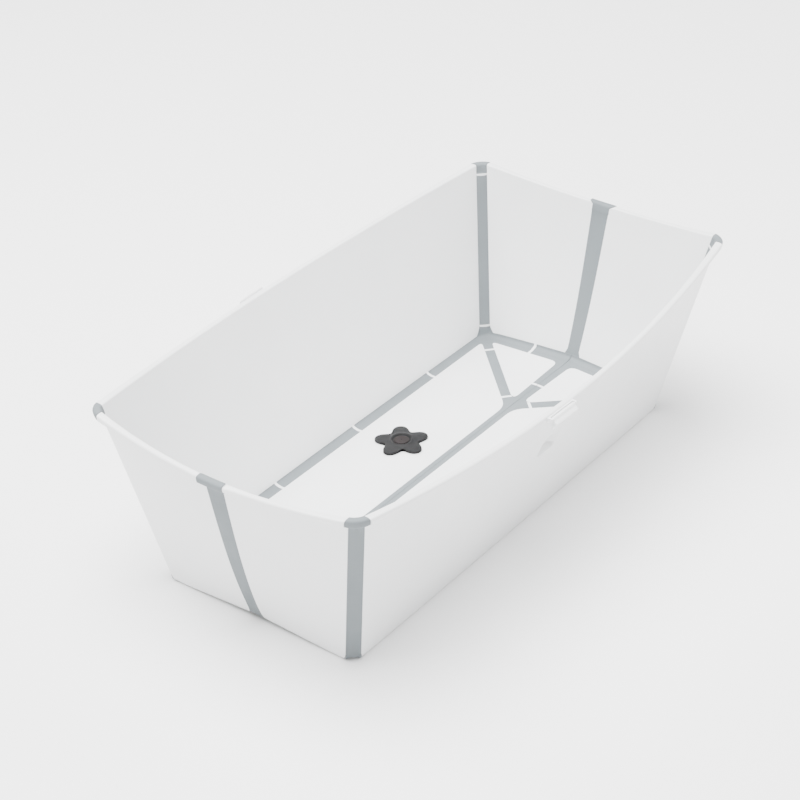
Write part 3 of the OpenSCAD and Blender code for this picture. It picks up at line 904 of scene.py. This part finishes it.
seal = lathe("plug_button", [tuple(p) for p in resample(chaikin(
    [(0.05, 1.7), (3.7, 1.7), (3.8, 4.85), (9.8, 4.92), (10.5, 5.2), (10.5, 5.8), (9.8, 6.15), (4.0, 6.05),
     (0.05, 6.0), (0.05, 1.7)], 1), 44)[:-1]], BUTTON, (DRAIN[0], DRAIN[1], FZ))
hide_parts("plug_seal")
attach(seal, "plug")


# ---------------------------------------------------------------- latch, catch, feet
def swept(name, section, xs, mat, place, shrink=None, bevel=0.3):
    """Closed bar: section (out, up) carried along x; shrink(x) draws it in towards the ends."""
    m = len(section)
    cy = sum(p[0] for p in section) / m
    cz = sum(p[1] for p in section) / m
    verts, faces = [], []
    for x in xs:
        k = shrink(x) if shrink else 1.0
        for o, z in section:
            verts.append(place((x, -(cy + (o - cy) * k), cz + (z - cz) * k)))
    for i in range(len(xs) - 1):
        for j in range(m):
            l = (j + 1) % m
            faces.append((i * m + j, i * m + l, (i + 1) * m + l, (i + 1) * m + j))
    faces.append(tuple(range(m)))
    faces.append(tuple(reversed(range((len(xs) - 1) * m, len(xs) * m))))
    return make(name, verts, faces, mat, bevel)


def ring_of(pts, n, times=2):
    """Smooth closed outline through pts with n points."""
    p = [arr(a) for a in pts]
    for _ in range(times):
        q = []
        for a, b in zip(p, p[1:] + p[:1]):
            q += [a * 0.75 + b * 0.25, a * 0.25 + b * 0.75]
        p = q
    return [tuple(a) for a in resample(p + [p[0]], n + 1)[:-1]]


LATCH_L, PIN_OUT, PIN_Z = 46.0, LIP_W + 3.4, -4.2
XS = np.linspace(-LATCH_L / 2, LATCH_L / 2, 41)


def end_round(x):
    return 1 - 0.16 * max(0.0, (abs(x) - LATCH_L / 2 + 2.0) / 2.0) ** 2


P = PIN_OUT
tab = swept("latch_lever", ring_of(
    [(P - 2.0, -3.4), (P - 1.2, -2.2), (P + 0.6, -1.9), (P + 2.2, -2.9), (P + 3.2, -5.0), (P + 5.6, -7.2),
     (P + 7.4, -8.8), (P + 7.7, -10.8), (P + 6.2, -12.2), (P + 3.6, -13.2), (P + 2.2, -15.4),
     (P + 1.6, -18.6), (P + 0.2, -18.8), (P - 0.4, -16.0), (P - 0.6, -10.0), (P - 1.4, -6.0)], 52, 1), XS, WHITE_RIM, at_latch,
    end_round)
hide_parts("latch_tab")
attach(tab, "latch")
pin = swept("latch_pin_rod", [(PIN_OUT + 1.15 * math.cos(a), PIN_Z + 1.15 * math.sin(a))
                              for a in np.linspace(0, 2 * math.pi, 24, endpoint=False)],
            np.linspace(-LATCH_L / 2 - 3.9, LATCH_L / 2 + 3.9, 9), WHITE_RIM, at_latch, None, 0.3)
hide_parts("latch_pin")
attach(pin, "wall_front")
plate_b = swept("latch_plate", ring_of(
    [(LIP_W - 3.4, -7.4), (LIP_W + 0.4, -7.4), (LIP_W + 0.6, -6.6), (LIP_W + 0.6, -2.6), (LIP_W + 0.4, -1.9),
     (LIP_W - 1.6, -1.7)], 24, 1),
                np.linspace(-LATCH_L / 2 - 4.0, LATCH_L / 2 + 4.0, 17), WHITE_RIM, at_latch, None, 0.3)
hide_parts("latch_bracket")
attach(plate_b, "wall_front")
for j, x0 in enumerate((-LATCH_L / 2 - 2.0, LATCH_L / 2 + 2.0)):
    lug = swept(f"latch_lug_{j}", ring_of([(LIP_W - 3.0, -7.0), (PIN_OUT, -7.2), (PIN_OUT + 2.6, -6.6),
                                           (PIN_OUT + 2.9, -4.2), (PIN_OUT + 2.4, -1.8), (PIN_OUT, -1.4),
                                           (LIP_W - 1.4, -1.8)], 36, 2),
                np.linspace(x0 - 1.5, x0 + 1.5, 5), WHITE_RIM, at_latch, None, 0.35)
    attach(lug, "wall_front")


def at_catch(p):
    return at_latch(p, 1)


catch = swept("rim_catch_bar", ring_of(
    [(LIP_W - 3.6, -9.0), (PIN_OUT + 2.0, -9.0), (PIN_OUT + 3.7, -8.6), (PIN_OUT + 3.7, -3.6),
     (PIN_OUT + 2.6, -3.3), (PIN_OUT + 1.8, -3.8), (PIN_OUT + 1.6, -6.3), (PIN_OUT, -6.7),
     (LIP_W - 3.0, -6.6)], 44, 1),
    XS, WHITE_RIM, at_catch, end_round)
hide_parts("rim_catch")
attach(catch, "wall_back")

FOOT_X, FOOT_Y = 130.0, 30.0

for fy, fs in ((-1, "front"), (1, "back")):
    for fx, fn in ((-1, "left"), (1, "right")):
        top = leaned((0, FOOT_Y, FZ - HT))[2] + 0.25
        pad = lathe(f"foot_{fs}_{fn}_pad", [tuple(p) for p in resample(chaikin(
            [(0.05, 0.6), (6.5, 0.6), (7.6, 0.0), (8.6, 0.5), (9.0, 1.4), (8.6, 2.4), (7.4, 2.9), (7.0, 4.0),
             (6.9, top), (0.05, top), (0.05, 0.6)], 1), 50)[:-1]], GREY,
            (FOOT_X * fx, FOOT_Y * fy, 0.0), n=48, tilt=False)
        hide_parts(f"foot_{fs}_{fn}")
        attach(pad, f"floor_{fs}")


# ---------------------------------------------------------------- stage, light, camera
def stage():
    me = bpy.data.meshes.new("floor_stage")
    r = 14.0
    me.from_pydata([(-r, -r, 0), (r, -r, 0), (r, r, 0), (-r, r, 0)], [], [(0, 1, 2, 3)])
    ob = bpy.data.objects.new("floor_stage", me)
    bpy.context.scene.collection.objects.link(ob)
    m, nt, b = new_material("stage_pale")
    n = noise(nt, 0.8, 2.0)
    c = ramp(nt, n.outputs["Fac"], [(0.3, (0.93, 0.93, 0.93)), (0.7, (0.95, 0.95, 0.95))])
    nt.links.new(c.outputs[0], b.inputs["Base Color"])
    b.inputs["Roughness"].default_value = 0.9
    b.inputs["Specular IOR Level"].default_value = 0.1
    me.materials.append(m)


stage()


def area(name, loc, aim, size, power):
    l = bpy.data.lights.new(name, "AREA")
    l.shape = "SQUARE"
    l.size = size
    l.energy = power
    o = bpy.data.objects.new(name, l)
    o.location = loc
    o.rotation_mode = "QUATERNION"
    o.rotation_quaternion = (Vector(aim) - Vector(loc)).to_track_quat("-Z", "Y")
    bpy.context.scene.collection.objects.link(o)


area("key", (-0.5, 0.6, 3.4), (0, 0, 0.1), 3.2, 590)
area("fill", (-3.2, -2.4, 2.0), (0, 0, 0.1), 3.0, 52)
area("right", (3.0, -1.6, 2.2), (0, 0, 0.1), 2.6, 130)
world = bpy.data.worlds.new("studio")
bpy.context.scene.world = world
world.use_nodes = True
bg = world.node_tree.nodes.get("Background")
bg.inputs[0].default_value = (1.0, 1.0, 1.0, 1)
bg.inputs[1].default_value = 0.8

cam_d = bpy.data.cameras.new("camera")
cam_d.sensor_width = 36.0
cam_d.lens = 36.0 * 2270.0 / 800.0
cam = bpy.data.objects.new("camera", cam_d)
bpy.context.scene.collection.objects.link(cam)
right = Vector((0.5884, -0.8086, 0.0)).normalized()
back = Vector((-0.6834, -0.4973, 0.5345)).normalized()
up = back.cross(right).normalized()
right = up.cross(back).normalized()
pos = right * (-0.0336) + up * 0.1136 + back * 2.962
turn = Matrix([[right[i], up[i], back[i]] for i in range(3)])
cam.matrix_world = Matrix.Translation(pos) @ turn.to_4x4()
bpy.context.scene.camera = cam

bpy.context.view_layer.update()
